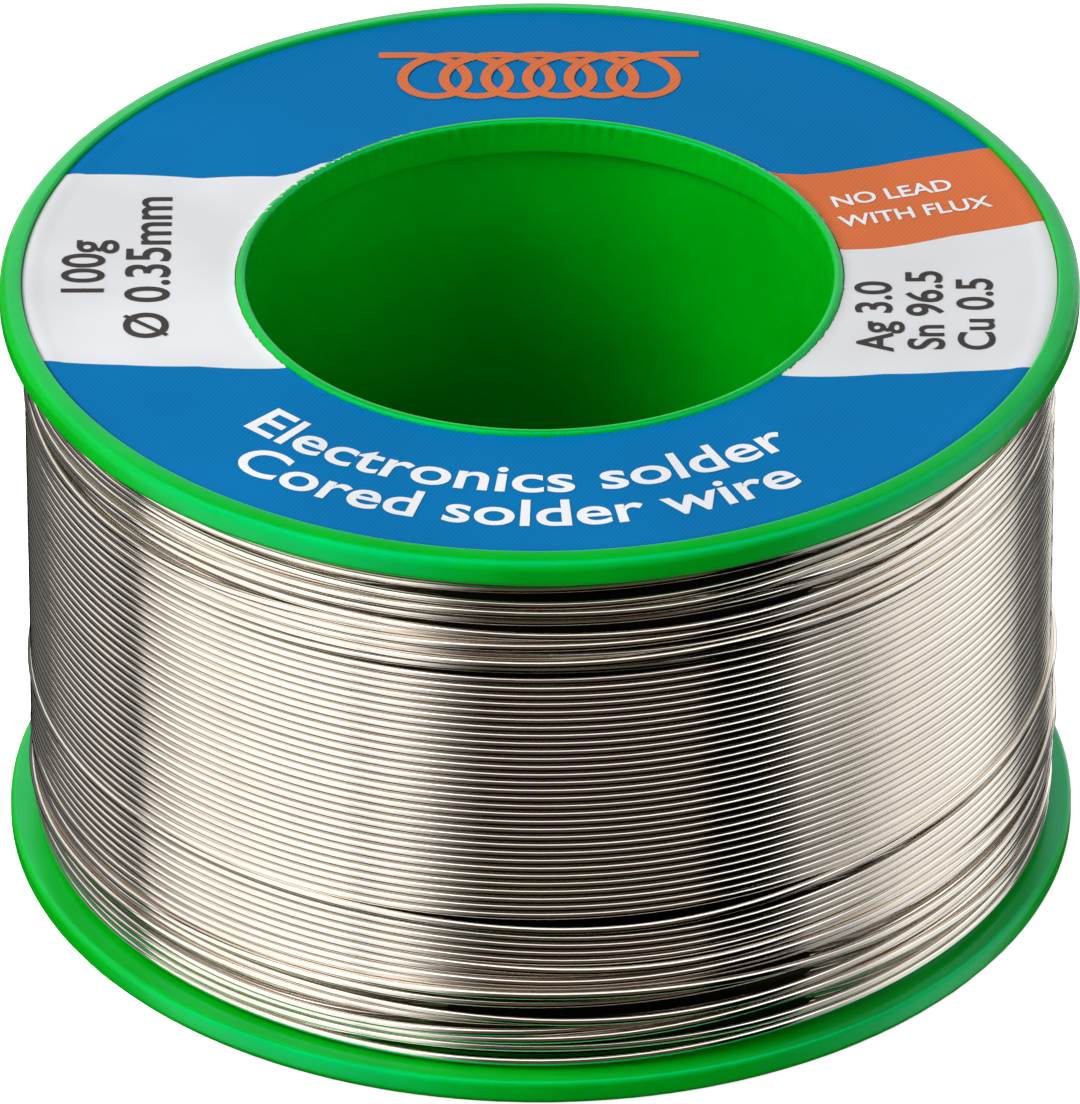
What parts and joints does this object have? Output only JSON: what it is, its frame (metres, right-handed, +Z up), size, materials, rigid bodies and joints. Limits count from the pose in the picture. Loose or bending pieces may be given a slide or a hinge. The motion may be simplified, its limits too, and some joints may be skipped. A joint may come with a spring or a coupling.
{
  "type": "solder wire spool",
  "caption": "Small flanged spool wound full of thin solder wire, with a wide open bore for a bench spindle and a label ring on its top flange.",
  "frame": {"origin": "centre of the bottom flange's outer face, on the surface that the spool stands on", "axes": "+Z up along the spool's axis, from the plain flange to the labelled one; +X towards the right of the label's lettering; +Y towards the label's far side"},
  "size_m": [0.042, 0.042, 0.025],
  "materials": {
    "green_plastic": "glossy injection-moulded polystyrene, slightly translucent",
    "label_paper": "satin printed paper in blue, white and orange fields",
    "solder_wire": "bright drawn tin solder"
  },
  "bodies": {
    "root": {"bottom_flange": "green_plastic", "top_flange": "green_plastic", "hub_tube": "green_plastic", "top_label": "label_paper", "solder_winding": "solder_wire"}
  },
  "joints": []
}
